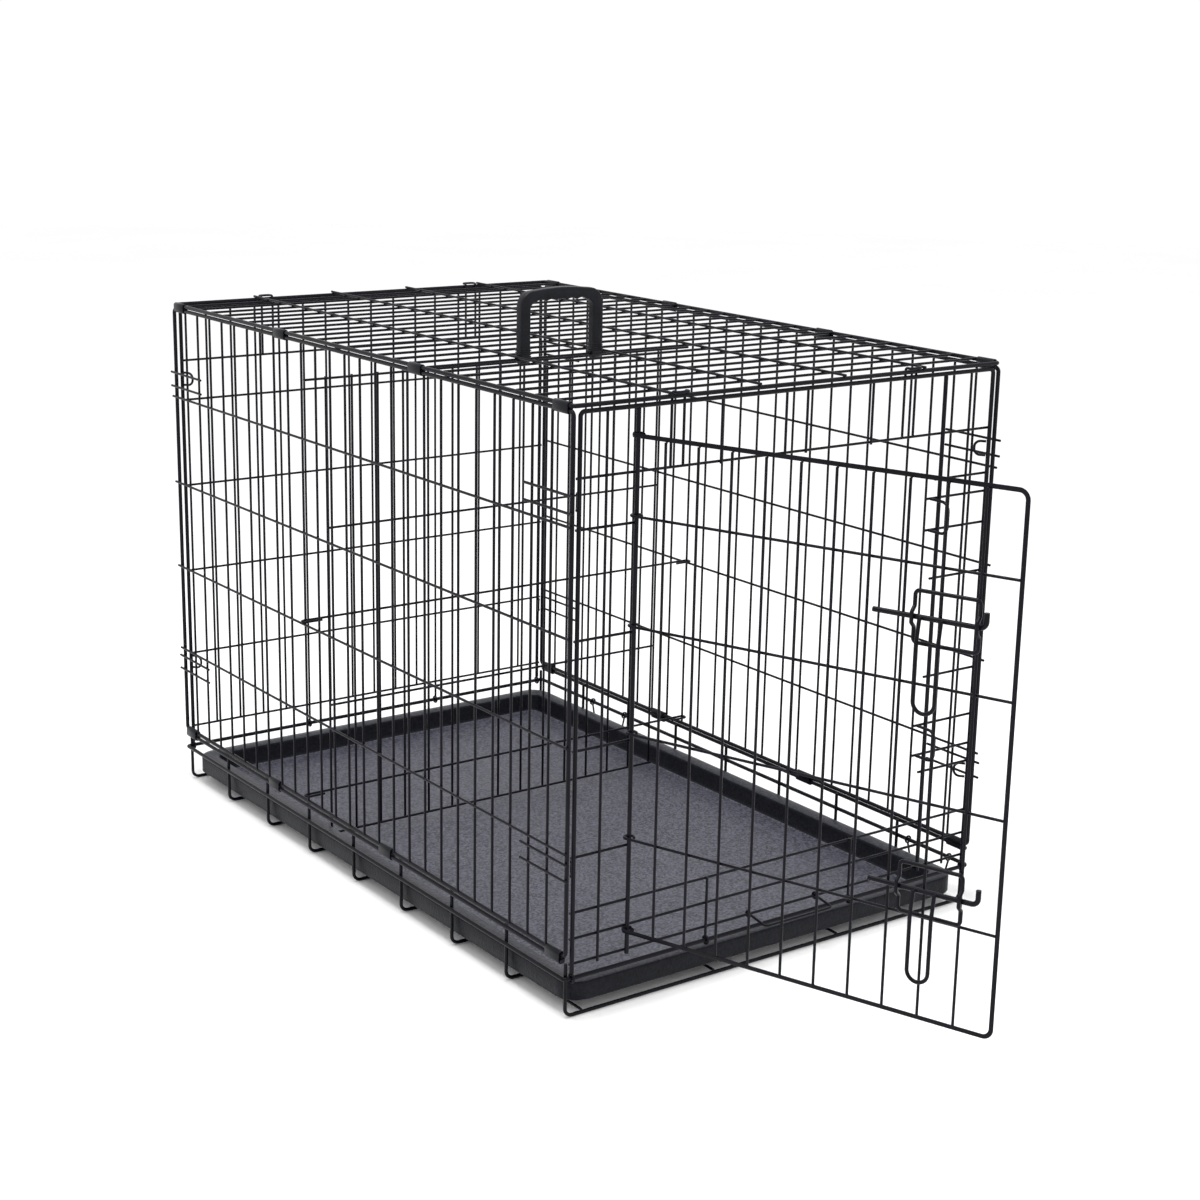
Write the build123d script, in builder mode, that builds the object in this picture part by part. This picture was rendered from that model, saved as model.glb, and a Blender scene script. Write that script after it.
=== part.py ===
from build123d import *
import os
from math import cos, radians, sin

# Folding wire dog crate: a welded wire base, two side panels and a top panel joined by sheet-metal
# hinge sleeves, two end panels that hinge on the base, a door with two slide bolts, a divider and a
# slide-out pan. Millimetres, +Z up, origin on the floor at the middle of the base, door end at -Y.

# ---- driving dimensions ----
HALF_L = 450.0            # side panel frame, middle to end post (wire axes)
HALF_W = 291.5            # middle to side panel frame plane
SIDE_LOW, SIDE_TOP = 72.0, 642.5
TOP_Z = 648.0             # top panel frame plane
THICK, THIN = 2.4, 1.5    # wire radii: frame wire and mesh wire
RISER_R = 2.0             # base cross wire radius
WELD_GAP = 0.05           # hairline left between welded wires
RUN_GAP = 0.3             # clearance between pieces that move
BAYS = 26                 # bays along the crate
PITCH = 2 * HALF_L / BAYS
LAY = THICK + THIN + WELD_GAP        # mesh wire axis off a frame wire axis
CROSS = 2 * THIN + WELD_GAP          # mesh wire axis off a mesh wire axis
BUTT = THICK + WELD_GAP              # mesh wire end short of a frame wire axis

RAIL_Z = 46.0             # base mid rail, which the end panels hinge on
BASE_TOP_Z = 66.0
RAIL_X = 292.45
RISER_X = 288.0
POST_X = 283.3            # end panel corner posts
POST_TOP = 642.0
HEADER_Z = 575.0
STUB_ZS = (523.0, 409.0, 293.0, 178.0)
SILL_ZS = (117.0, 88.0, 60.0)
HINGE_X, LATCH_X = -212.5, 210.0     # door jambs
RAIL_END = 284.2
RING_XS = (-POST_X, -105.0, 103.0, POST_X)
HOOK_XS = (-160.0, 160.0)
POST_LOOP_ZS = (551.0, 166.0)

DOOR_ANGLE = -70.4        # door stands this far open
DOOR_W = 418.0
DOOR_TOP, DOOR_LOW = 613.0, 83.9
DOOR_RAIL_ZS = (531.0, 416.5, 302.0, 187.5)
DOOR_OFF = 5.3            # door wires stand this far off the jamb axis
BOLT_ZS = {"upper": 483.0, "lower": 217.0}
BOLT_SHIFTS = {"upper": 0.0, "lower": 10.0}     # how far each bolt is drawn towards its keeper
KEEPER_RISE = 1.0         # keeper middle above its bolt axis
KEEPER_X, KEEPER_H, KEEPER_OUT = 199.5, 36.0, 26.0

DIVIDER_Y = -HALF_L + 16 * PITCH + 4.2
DIVIDER_X0, DIVIDER_PITCH, DIVIDER_BAYS = -256.5, 35.5, 14

os.makedirs("parts", exist_ok=True)


def save(part, label):
    part.label = label
    export_step(part, f"parts/{label}.step")


def straight_wires(label, radius, plane, spots, length):
    """Equal parallel wires, one at each spot of the plane, running along its normal."""
    with BuildPart() as wires:
        with BuildSketch(plane):
            with Locations(*spots):
                Circle(radius)
        extrude(amount=length)
    save(wires.part, label)


def wires_of_lengths(label, radius, runs):
    """Straight wires of different lengths, each given by its two end points."""
    with BuildPart() as wires:
        for start, end in runs:
            along = Vector(end) - Vector(start)
            with BuildSketch(Plane(origin=start, z_dir=along)):
                Circle(radius)
            extrude(amount=along.length)
    save(wires.part, label)


def bent_wires(label, radius, routes):
    """Wires bent along routes; a route is its corner points and the bend radius at each corner."""
    with BuildPart() as wires:
        for points, bends in routes:
            with BuildLine() as route:
                FilletPolyline(*points, radius=bends)
            with BuildSketch(Plane(origin=route.line @ 0, z_dir=route.line % 0)):
                Circle(radius)
            sweep(path=route.line)
    save(wires.part, label)


def loop_route(plane, half_u, low_v, high_v, bend):
    """A rectangular frame wire, butt-welded at the middle of its low side."""
    corners = [(WELD_GAP / 2, low_v), (half_u, low_v), (half_u, high_v)]
    corners += [(-half_u, high_v), (-half_u, low_v), (-WELD_GAP / 2, low_v)]
    points = [plane.from_local_coords((u, v, 0)) for u, v in corners]
    return points, bend


def rings(label, wire, clear, plane_of, places):
    """Closed eyes of wire round a frame wire."""
    with BuildPart() as eyes:
        for place in places:
            with BuildSketch(plane_of(place)):
                with Locations((THICK + clear + wire, 0)):
                    Circle(wire)
            revolve(axis=Axis(place, plane_of(place).y_dir), revolution_arc=360)
    save(eyes.part, label)


# ---- base: up-turned cross wires, floor wires, mid rail all round, top rails under the sides ----
riser_end = HALF_L - THICK - RISER_R - WELD_GAP
risers = [riser_end * (1 - i / 4) for i in range(9)]
cross_routes = []
for y in risers:
    top = BASE_TOP_Z + 2 if abs(y) < riser_end else BASE_TOP_Z - 4.2
    ends = [(-RISER_X, y, top), (-RISER_X, y, RISER_R), (RISER_X, y, RISER_R), (RISER_X, y, top)]
    cross_routes.append((ends, 9))
bent_wires("base_cross_wires", RISER_R, cross_routes)

floor_z = 2 * RISER_R + THIN + WELD_GAP
straight_wires(
    "base_floor_wires", THIN, Plane(origin=(0, -HALF_L + 3, 0), x_dir=(1, 0, 0), z_dir=(0, 1, 0)),
    [(x, -floor_z) for x in (-268, -90, 90, 268)], 2 * HALF_L - 6,
)
base_plane = Plane.XY.offset(RAIL_Z)
bent_wires("base_mid_rail", THICK, [loop_route(base_plane, RAIL_X, -HALF_L, HALF_L, 4.4)])
straight_wires(
    "base_top_rails", THICK, Plane(origin=(0, -HALF_L + 3, 0), x_dir=(1, 0, 0), z_dir=(0, 1, 0)),
    [(-RAIL_X, -BASE_TOP_Z), (RAIL_X, -BASE_TOP_Z)], 2 * HALF_L - 6,
)

# ---- side panels: frame wire, upright mesh wires in its plane, rails and catch ears outside ----
side_rail_zs = [SIDE_LOW + (SIDE_TOP - SIDE_LOW) * k / 5 for k in range(1, 5)]
upright_off = LAY - CROSS
for name, side in (("left", -1), ("right", 1)):
    side_plane = Plane(origin=(side * HALF_W, 0, 0), x_dir=(0, 1, 0), z_dir=(1, 0, 0))
    frame_route = loop_route(side_plane, HALF_L, SIDE_LOW, SIDE_TOP, 5)
    bent_wires(f"{name}_side_frame", THICK, [frame_route])
    straight_wires(
        f"{name}_side_uprights", THIN, Plane.XY.offset(SIDE_LOW + BUTT),
        [(side * (HALF_W + upright_off), -HALF_L + PITCH * i) for i in range(1, BAYS)],
        SIDE_TOP - SIDE_LOW - 2 * BUTT,
    )
    rail_x = side * (HALF_W + LAY)
    straight_wires(
        f"{name}_side_rails", THIN,
        Plane(origin=(rail_x, -HALF_L - 3, 0), x_dir=(1, 0, 0), z_dir=(0, 1, 0)),
        [(0, -z) for z in side_rail_zs], 2 * HALF_L + 6,
    )
    ears = []
    for z in POST_LOOP_ZS:
        for dz in (-9, 9):
            for end in (-1, 1):
                ears.append(((rail_x, end * (HALF_L - 80), z + dz), (rail_x, end * (HALF_L + 6), z + dz)))
    wires_of_lengths(f"{name}_side_ears", THIN, ears)

# ---- top panel: frame wire, cross wires in its plane, four long wires over them ----
bent_wires("top_frame", THICK, [loop_route(Plane.XY.offset(TOP_Z), HALF_W, -HALF_L, HALF_L, 5)])
straight_wires(
    "top_cross_wires", THIN, Plane(origin=(-HALF_W + BUTT, 0, TOP_Z + upright_off), z_dir=(1, 0, 0), x_dir=(0, 1, 0)),
    [(-HALF_L + PITCH * i, 0) for i in range(1, BAYS)], 2 * (HALF_W - BUTT),
)
straight_wires(
    "top_long_wires", THIN, Plane(origin=(0, -HALF_L - 3, TOP_Z + LAY), x_dir=(1, 0, 0), z_dir=(0, 1, 0)),
    [(HALF_W * k / 5, 0) for k in (-3, -1, 1, 3)], 2 * HALF_L + 6,
)

# ---- hinge sleeves: sheet steel wrapped round the two edge wires they join ----
SLEEVE_L, SHEET = 26.0, 0.9


def bay_middle(bay):
    middle = -HALF_L + PITCH * (bay + 0.5)
    return max(-431.0, min(431.0, middle))


def hinge_sleeves(label, seats, low_z, high_z, bore):
    with BuildPart() as sleeves:
        for x, bay in seats:
            start = (x, bay_middle(bay) - SLEEVE_L / 2, (low_z + high_z) / 2)
            with BuildSketch(Plane(origin=start, x_dir=(0, 0, 1), z_dir=(0, 1, 0))):
                SlotCenterToCenter(high_z - low_z, 2 * (bore + SHEET))
                SlotCenterToCenter(high_z - low_z, 2 * bore, mode=Mode.SUBTRACT)
            extrude(amount=SLEEVE_L)
    save(sleeves.part, label)


hinge_sleeves(
    "top_hinge_sleeves", [(side * HALF_W, bay) for side in (-1, 1) for bay in (0, 8, 17, 25)],
    SIDE_TOP, TOP_Z, THICK + RUN_GAP,
)
low_sleeve_x = (HALF_W + RAIL_X) / 2
low_seats = [(-low_sleeve_x, bay) for bay in (0, 10, 18, 25)]
low_seats += [(low_sleeve_x, bay) for bay in (0, 8, 17, 25)]
hinge_sleeves(
    "bottom_hinge_sleeves", low_seats, BASE_TOP_Z, SIDE_LOW, THICK + RUN_GAP + RAIL_X - HALF_W - 0.45,
)


# ---- end panels ----
def end_panel(name, end, jamb_xs, uprights, rails):
    """An end panel in the plane y = end * HALF_L; uprights and rails are (place, low, high)."""
    y = end * HALF_L
    upright_y = end * (HALF_L - upright_off)
    rail_y = end * (HALF_L - LAY)
    ring_top = RAIL_Z + THICK + RUN_GAP + 2 * THIN + WELD_GAP
    frame = [(-POST_X, y, ring_top), (-POST_X, y, POST_TOP), (POST_X, y, POST_TOP), (POST_X, y, ring_top)]
    bent_wires(f"{name}_frame", THICK, [(frame, 5)])
    if jamb_xs:
        jambs = [((x, y, SILL_ZS[-1] - 3), (x, y, POST_TOP - BUTT)) for x in jamb_xs]
        wires_of_lengths(f"{name}_door_jambs", THICK, jambs)
    runs = [((x, upright_y, low or ring_top), (x, upright_y, high)) for x, low, high in uprights]
    wires_of_lengths(f"{name}_uprights", THIN, runs)
    runs = [((low, rail_y, z), (high, rail_y, z)) for z, low, high in rails]
    wires_of_lengths(f"{name}_rails", THIN, runs)
    rings(
        f"{name}_hinge_rings", THIN, RUN_GAP,
        lambda place: Plane(origin=place, x_dir=(0, 1, 0), z_dir=(0, 0, 1)),
        [(x, y, RAIL_Z) for x in RING_XS],
    )
    leg_y = end * (HALF_L - LAY - RUN_GAP)
    over_z = TOP_Z + THICK + RUN_GAP + THIN
    tip_y = end * (HALF_L + 4)
    hooks = []
    for x in HOOK_XS:
        left, right = x - 8, x + 8
        points = [(left, leg_y, HEADER_Z + THIN + WELD_GAP), (left, leg_y, over_z), (left, tip_y, over_z)]
        points += [(right, tip_y, over_z), (right, leg_y, over_z), (right, leg_y, HEADER_Z + THIN + WELD_GAP)]
        hooks.append((points, 3.2))
    bent_wires(f"{name}_top_hooks", THIN, hooks)
    loops = []
    for side in (-1, 1):
        for z in POST_LOOP_ZS:
            foot, tip = (side * POST_X, rail_y), (side * (POST_X - 7.8), rail_y - end * 10.4)
            loops.append(([(*foot, z + 8), (*tip, z + 8), (*tip, z - 8), (*foot, z - 8)], 7))
    bent_wires(f"{name}_post_loops", THIN, loops)


full = (-RAIL_END, RAIL_END)
under_top = POST_TOP - BUTT
sill_foot = SILL_ZS[-1] - 3
front_uprights = [(-250.0, sill_foot, under_top), (250.5, sill_foot, under_top)]
front_uprights += [(x, HEADER_Z - 2, under_top) for x in (RING_XS[1], -19.0, 10.0, RING_XS[2])]
front_uprights += [(x, None, SILL_ZS[0] + 2) for x in RING_XS[1:3]]
front_rails = [(z, *full) for z in (HEADER_Z, *SILL_ZS)]
front_rails += [(z, -RAIL_END, HINGE_X + 4) for z in STUB_ZS]
front_rails += [(z, LATCH_X - 4, RAIL_END) for z in STUB_ZS]
keeper_zs = {name: z + KEEPER_RISE for name, z in BOLT_ZS.items()}
for z in keeper_zs.values():
    front_rails += [(z + dz, KEEPER_X - 5, RAIL_END) for dz in (-KEEPER_H / 2, KEEPER_H / 2)]
end_panel("front", -1, (HINGE_X, LATCH_X), front_uprights, front_rails)

back_low = 75.0
back_uprights = []
for i in range(1, 16):
    x = -POST_X + 2 * POST_X * i / 16
    if i in (5, 11):
        back_uprights.append((RING_XS[1] if i == 5 else RING_XS[2], None, under_top))
    else:
        back_uprights.append((x, back_low - 2, under_top))
end_panel("back", 1, (), back_uprights, [(z, *full) for z in (HEADER_Z, *STUB_ZS, back_low)])

# ---- bolt keepers: loops that stand out of the front panel through the closed door ----
KEEPER_R = 1.75
keeper_foot = -HALF_L + LAY - THIN - WELD_GAP
keeper_routes = []
for z in keeper_zs.values():
    low, high, out = z - KEEPER_H / 2, z + KEEPER_H / 2, -HALF_L - KEEPER_OUT
    ends = [(KEEPER_X, keeper_foot, high), (KEEPER_X, out, high), (KEEPER_X, out, low), (KEEPER_X, keeper_foot, low)]
    keeper_routes.append((ends, 10))
bent_wires("front_bolt_keepers", KEEPER_R, keeper_routes)

# ---- tray stop: U of wire that turns on the lowest sill wire ----
stop_z, stop_y = SILL_ZS[-1], -HALF_L + LAY
STOP_XS, STOP_OUT = (-42.0, 55.0), 30.0
eye_r = THIN + RUN_GAP + THIN
with BuildPart() as tray_stop:
    for x in STOP_XS:
        with BuildSketch(Plane(origin=(x, stop_y, stop_z), x_dir=(0, 1, 0), z_dir=(0, 0, 1))):
            with Locations((eye_r, 0)):
                Circle(THIN)
        revolve(axis=Axis((x, stop_y, stop_z), (1, 0, 0)), revolution_arc=360)
    with BuildLine() as stop_route:
        corners = [(STOP_XS[0], stop_y - eye_r, stop_z), (STOP_XS[0], stop_y - STOP_OUT, stop_z - 4)]
        corners += [(STOP_XS[1], stop_y - STOP_OUT, stop_z - 4), (STOP_XS[1], stop_y - eye_r, stop_z)]
        FilletPolyline(*corners, radius=5)
    with BuildSketch(Plane(origin=stop_route.line @ 0, z_dir=stop_route.line % 0)):
        Circle(THIN)
    sweep(path=stop_route.line)
save(tray_stop.part, "tray_stop")

# ---- door, standing open: local x runs from the hinge to the free edge, y up, z out of its face ----
turn = radians(DOOR_ANGLE)
door_plane = Plane(
    origin=(HINGE_X, -HALF_L, 0), x_dir=(cos(turn), sin(turn), 0), z_dir=(sin(turn), -cos(turn), 0),
)


def on_door(along, up, out):
    return door_plane.from_local_coords((along, up, out))


frame_ends = [(0.05, DOOR_TOP), (DOOR_W, DOOR_TOP), (DOOR_W, DOOR_LOW), (0.05, DOOR_LOW)]
bent_wires("door_frame", THICK, [([on_door(u, z, DOOR_OFF) for u, z in frame_ends], 9)])
wires_of_lengths(
    "door_rails", THIN,
    [(on_door(0.05, z, DOOR_OFF), on_door(DOOR_W - BUTT, z, DOOR_OFF)) for z in DOOR_RAIL_ZS],
)
door_upright_off = DOOR_OFF + CROSS
door_upright_pitch = DOOR_W / 11
wires_of_lengths(
    "door_uprights", THIN,
    [
        (
            on_door(door_upright_pitch * i, DOOR_LOW + BUTT, door_upright_off),
            on_door(door_upright_pitch * i, DOOR_TOP - BUTT, door_upright_off),
        )
        for i in range(1, 11)
    ],
)
with BuildPart() as door_hinge_eyes:
    for z, wire in [(DOOR_TOP, THICK), (DOOR_LOW, THICK)] + [(z, THIN) for z in DOOR_RAIL_ZS]:
        with BuildSketch(Plane(origin=on_door(0, z, 0), x_dir=door_plane.z_dir, z_dir=-door_plane.x_dir)):
            with Locations((DOOR_OFF, 0)):
                Circle(wire)
        revolve(axis=Axis(on_door(0, z, 0), (0, 0, -1)), revolution_arc=255)
save(door_hinge_eyes.part, "door_hinge_eyes")

# ---- slide bolts: wire guide on the door, rod with a turned-up tip, finger pull hanging from it ----
BOLT_R, GUIDE_R, PULL_R = 2.6, 2.0, 2.0
bolt_off = door_upright_off + THIN + RUN_GAP + BOLT_R
guide_off = door_upright_off + THIN + GUIDE_R + WELD_GAP
bulge_off = bolt_off + BOLT_R + RUN_GAP + GUIDE_R
GUIDE_ALONG, GUIDE_HALF_H = (317.0, 382.5), 25.0
ROD_ALONG, ROD_TIP = (275.0, 389.5), 15.0
PULL_ALONG, PULL_DROP, PULL_OUT = (325.0, 347.0), 89.0, 9.0

guide_routes = []
for z in BOLT_ZS.values():
    low, high = z - GUIDE_HALF_H, z + GUIDE_HALF_H
    start, stop = GUIDE_ALONG
    middle = (start + stop) / 2
    bulge = [(z + 10, guide_off), (z + 5, bulge_off), (z - 5, bulge_off), (z - 10, guide_off)]
    points = [on_door(middle - WELD_GAP / 2, high, guide_off), on_door(start, high, guide_off)]
    points += [on_door(start, up, out) for up, out in bulge]
    points += [on_door(start, low, guide_off), on_door(stop, low, guide_off)]
    points += [on_door(stop, up, out) for up, out in reversed(bulge)]
    points += [on_door(stop, high, guide_off), on_door(middle + WELD_GAP / 2, high, guide_off)]
    bends = [4.5] + [2.2] * 4 + [4.5, 4.5] + [2.2] * 4 + [4.5]
    guide_routes.append((points, bends))
bent_wires("door_bolt_guides", GUIDE_R, guide_routes)

for name, z in BOLT_ZS.items():
    shift = BOLT_SHIFTS[name]
    butt, bend = ROD_ALONG[0] + shift, ROD_ALONG[1] + shift
    tip = [on_door(butt, z, bolt_off), on_door(bend, z, bolt_off), on_door(bend, z + ROD_TIP, bolt_off)]
    bent_wires(f"{name}_bolt_rod", BOLT_R, [(tip, 6.5)])
    near = bolt_off + BOLT_R + PULL_R + WELD_GAP
    far = bolt_off + PULL_OUT
    left, right = PULL_ALONG[0] + shift, PULL_ALONG[1] + shift
    points = [on_door(left, z + 1, near), on_door(left, z - 24, far), on_door(left, z - PULL_DROP, far)]
    points += [on_door(right, z - PULL_DROP, far), on_door(right, z - 24, far), on_door(right, z + 1, near)]
    bent_wires(f"{name}_bolt_pull", PULL_R, [(points, [20, 10.9, 10.9, 20])])

# ---- divider: hooked round an upright of each side panel, standing just above the pan ----
divider_xs = [DIVIDER_X0 + DIVIDER_PITCH * i for i in range(DIVIDER_BAYS + 1)]
hook_rest = side_rail_zs[1] + 2 * THIN + 0.1
divider_low, divider_high = 22.0, 596.0
wires_of_lengths(
    "divider_uprights", THIN,
    [((x, DIVIDER_Y + CROSS, divider_low - 2), (x, DIVIDER_Y + CROSS, divider_high + 2)) for x in divider_xs],
)
inner = (divider_xs[0] - 2, divider_xs[-1] + 2)
divider_runs = [(divider_high, (-287.5, 287.5)), (414.0, inner), (190.0, inner), (divider_low, inner)]
wires_of_lengths(
    "divider_rails", THIN, [((low, DIVIDER_Y, z), (high, DIVIDER_Y, z)) for z, (low, high) in divider_runs],
)
hook_x, back_y = HALF_W + upright_off + 4.2, DIVIDER_Y - 8.4
hook_routes = []
for z in (hook_rest, 80.0):
    points = [(-272, back_y, z), (-hook_x, back_y, z), (-hook_x, DIVIDER_Y, z)]
    points += [(hook_x, DIVIDER_Y, z), (hook_x, back_y, z), (272, back_y, z)]
    hook_routes.append((points, 4.15))
bent_wires("divider_hook_rails", THIN, hook_routes)

# ---- pan: moulded tray with a wide rolled flange and a skirt ----
PAN_W, PAN_L, PAN_CORNER = 566.0, 892.0, 26.0
FLANGE, WALL = 20.0, 2.5
PAN_BASE, PAN_FLOOR, SKIRT_LOW, PAN_RIM = 7.4, 10.0, 14.0, 36.0
well_w, well_l = PAN_W - 2 * FLANGE, PAN_L - 2 * FLANGE
with BuildPart() as tray:
    with BuildSketch(Plane.XY.offset(PAN_BASE)):
        RectangleRounded(well_w + 2 * WALL, well_l + 2 * WALL, 20)
    extrude(amount=PAN_RIM - PAN_BASE)
    with BuildSketch(Plane.XY.offset(SKIRT_LOW)):
        RectangleRounded(PAN_W, PAN_L, PAN_CORNER)
        RectangleRounded(PAN_W - 2 * WALL, PAN_L - 2 * WALL, PAN_CORNER - WALL, mode=Mode.SUBTRACT)
    extrude(amount=PAN_RIM - SKIRT_LOW)
    with BuildSketch(Plane.XY.offset(PAN_RIM - WALL)):
        RectangleRounded(PAN_W, PAN_L, PAN_CORNER)
    extrude(amount=WALL)
    with BuildSketch(Plane.XY.offset(PAN_FLOOR)):
        RectangleRounded(well_w, well_l, 17.5)
    extrude(amount=PAN_RIM, mode=Mode.SUBTRACT)
save(tray.part, "tray")

# ---- carry handle: moulded grip whose two feet snap round one cross wire of the top ----
HANDLE_X, HANDLE_LEG_GAP, LEG_W, LEG_D = -116.5, 97.0, 13.0, 10.5
HANDLE_TOP, GRIP_H, SCALLOP_R = 726.0, 15.0, 11.0
handle_y, handle_z = -HALF_L + 8 * PITCH, TOP_Z + upright_off
half_out, half_in = (HANDLE_LEG_GAP + LEG_W) / 2, (HANDLE_LEG_GAP - LEG_W) / 2
handle_plane = Plane(origin=(HANDLE_X, handle_y + LEG_D / 2, 0), x_dir=(1, 0, 0), z_dir=(0, -1, 0))
with BuildPart() as carry_handle:
    with BuildSketch(handle_plane):
        with Locations((0, (HANDLE_TOP + handle_z) / 2)):
            Rectangle(2 * half_out, HANDLE_TOP - handle_z)
    extrude(amount=LEG_D)
    with BuildSketch(handle_plane):
        with Locations((0, (HANDLE_TOP - GRIP_H + handle_z) / 2 - 5)):
            Rectangle(2 * half_in, HANDLE_TOP - GRIP_H - handle_z + 10)
        with Locations(*[(half_in / 2.5 * i, HANDLE_TOP - GRIP_H + 2 - SCALLOP_R) for i in range(-2, 3)]):
            Circle(SCALLOP_R)
    extrude(amount=LEG_D, mode=Mode.SUBTRACT)
    corners = carry_handle.edges().filter_by(Axis.Y)
    fillet(corners.group_by(Axis.Z)[-1], 17)
    fillet(carry_handle.edges().filter_by(Axis.X).group_by(Axis.Z)[-1], 4)
    for side in (-1, 1):
        foot_x = HANDLE_X + side * HANDLE_LEG_GAP / 2 - LEG_W / 2
        with BuildSketch(Plane(origin=(foot_x, handle_y, handle_z), x_dir=(0, 1, 0), z_dir=(1, 0, 0))):
            Circle(LEG_D / 2)
        extrude(amount=LEG_W)
        with BuildSketch(Plane(origin=(foot_x, handle_y, handle_z), x_dir=(0, 1, 0), z_dir=(1, 0, 0))):
            Circle(THIN + 0.1)
        extrude(amount=LEG_W, mode=Mode.SUBTRACT)
save(carry_handle.part, "carry_handle")

# ---- storage clips: wire bails that hang on the right mid rail and hold the folded crate shut ----
CLIP_R, CLIP_DROP = 1.25, 32.0
clip_eye = THICK + RUN_GAP + CLIP_R
for name, ys in (("front", (-420.0, -350.0)), ("back", (238.0, 316.0))):
    with BuildPart() as clip:
        for y in ys:
            with BuildSketch(Plane(origin=(RAIL_X, y, RAIL_Z), x_dir=(1, 0, 0), z_dir=(0, 0, 1))):
                with Locations((clip_eye, 0)):
                    Circle(CLIP_R)
            revolve(axis=Axis((RAIL_X, y, RAIL_Z), (0, 1, 0)), revolution_arc=360)
        with BuildLine() as bail:
            corners = [(RAIL_X, ys[0], RAIL_Z - clip_eye), (RAIL_X, ys[0] + 8, RAIL_Z - CLIP_DROP)]
            corners += [(RAIL_X, ys[1] - 8, RAIL_Z - CLIP_DROP), (RAIL_X, ys[1], RAIL_Z - clip_eye)]
            FilletPolyline(*corners, radius=6)
        with BuildSketch(Plane(origin=bail.line @ 0, z_dir=bail.line % 0)):
            Circle(CLIP_R)
        sweep(path=bail.line)
    save(clip.part, f"{name}_storage_clip")
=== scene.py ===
import bmesh
import bpy
from math import cos, pi, radians, sin
from mathutils import Matrix, Vector


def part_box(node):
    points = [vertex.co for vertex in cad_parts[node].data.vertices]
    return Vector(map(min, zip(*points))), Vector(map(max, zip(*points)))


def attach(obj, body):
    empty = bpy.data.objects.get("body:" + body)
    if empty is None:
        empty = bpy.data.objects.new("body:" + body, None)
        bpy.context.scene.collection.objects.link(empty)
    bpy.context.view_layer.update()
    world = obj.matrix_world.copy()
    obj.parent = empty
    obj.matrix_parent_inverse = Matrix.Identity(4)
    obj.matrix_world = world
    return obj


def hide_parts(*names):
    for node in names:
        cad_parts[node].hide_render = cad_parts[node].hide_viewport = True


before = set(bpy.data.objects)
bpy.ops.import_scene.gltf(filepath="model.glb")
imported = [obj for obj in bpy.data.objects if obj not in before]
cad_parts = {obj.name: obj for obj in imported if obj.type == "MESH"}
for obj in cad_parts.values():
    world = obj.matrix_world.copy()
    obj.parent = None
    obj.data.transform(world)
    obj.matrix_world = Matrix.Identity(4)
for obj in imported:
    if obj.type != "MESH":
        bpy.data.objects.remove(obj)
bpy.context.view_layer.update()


# ---- Black coating ----
# Every wire and sleeve is mild steel under a gloss polyester powder coat, baked to a hard skin.
# It gives the eye a near-black with a blue cast, sharp highlights and a faint orange peel.
def linear(code):
    """An sRGB hex value as linear RGBA."""
    parts = [int(code[i : i + 2], 16) / 255 for i in (1, 3, 5)]
    return [p / 12.92 if p <= 0.04045 else ((p + 0.055) / 1.055) ** 2.4 for p in parts] + [1.0]


def add_node(tree, kind, settings=None, inputs=None):
    """Adds a node, sets its properties, and fills its inputs with values or with links."""
    node = tree.nodes.new(kind)
    for key, value in (settings or {}).items():
        setattr(node, key, value)
    for key, value in (inputs or {}).items():
        if isinstance(value, bpy.types.NodeSocket):
            tree.links.new(value, node.inputs[key])
        else:
            node.inputs[key].default_value = value
    return node


def new_finish(name):
    """An empty material with object coordinates, and the shader that the caller fills in."""
    finish = bpy.data.materials.new(name)
    finish.use_nodes = True
    tree = finish.node_tree
    tree.nodes.clear()
    place = add_node(tree, "ShaderNodeTexCoord").outputs["Object"]
    return finish, tree, place


def shade(tree, **inputs):
    """Ends a material in one shader; names use _ for a space."""
    named = {key.replace("_", " "): value for key, value in inputs.items()}
    shader = add_node(tree, "ShaderNodeBsdfPrincipled", inputs=named)
    add_node(tree, "ShaderNodeOutputMaterial", inputs={"Surface": shader.outputs["BSDF"]})


def grain(tree, place, size, detail=2.0):
    """Even random grain whose lumps are about size metres across."""
    settings = {"Vector": place, "Scale": 1 / size, "Detail": detail}
    return add_node(tree, "ShaderNodeTexNoise", inputs=settings).outputs["Fac"]


def spread(tree, value, low, high, from_low=0.3, from_high=0.7):
    """A grain's middle range as a value from low to high."""
    inputs = {"Value": value, "From Min": from_low, "From Max": from_high, "To Min": low, "To Max": high}
    return add_node(tree, "ShaderNodeMapRange", inputs=inputs).outputs["Result"]


def two_tone(tree, value, dark, light, low=0.35, high=0.65):
    """A grain as a drift between two colours."""
    ramp = add_node(tree, "ShaderNodeValToRGB", inputs={"Fac": value})
    for stop, place, code in zip(ramp.color_ramp.elements, (low, high), (dark, light)):
        stop.position, stop.color = place, linear(code)
    return ramp.outputs["Color"]


def powder_coat(name, dark, light):
    """Polyester powder coat: orange peel about 1.6 mm across, drifting slightly in gloss."""
    ORANGE_PEEL, DRIFT = 0.0016, 0.045
    finish, tree, place = new_finish(name)
    peel = grain(tree, place, ORANGE_PEEL)
    drift = grain(tree, place, DRIFT)
    bump = add_node(
        tree, "ShaderNodeBump", inputs={"Strength": 0.12, "Distance": 0.0002, "Height": peel},
    )
    shade(
        tree, Base_Color=two_tone(tree, drift, dark, light), Roughness=spread(tree, drift, 0.26, 0.38),
        Specular_IOR_Level=0.12, Normal=bump.outputs["Normal"],
    )
    return finish


WIRE_COAT = powder_coat("gloss_black_powder_coat_on_wire", "#0a0a10", "#101018")
SHEET_COAT = powder_coat("gloss_black_powder_coat_on_sheet", "#0d0e13", "#15161b")


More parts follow.
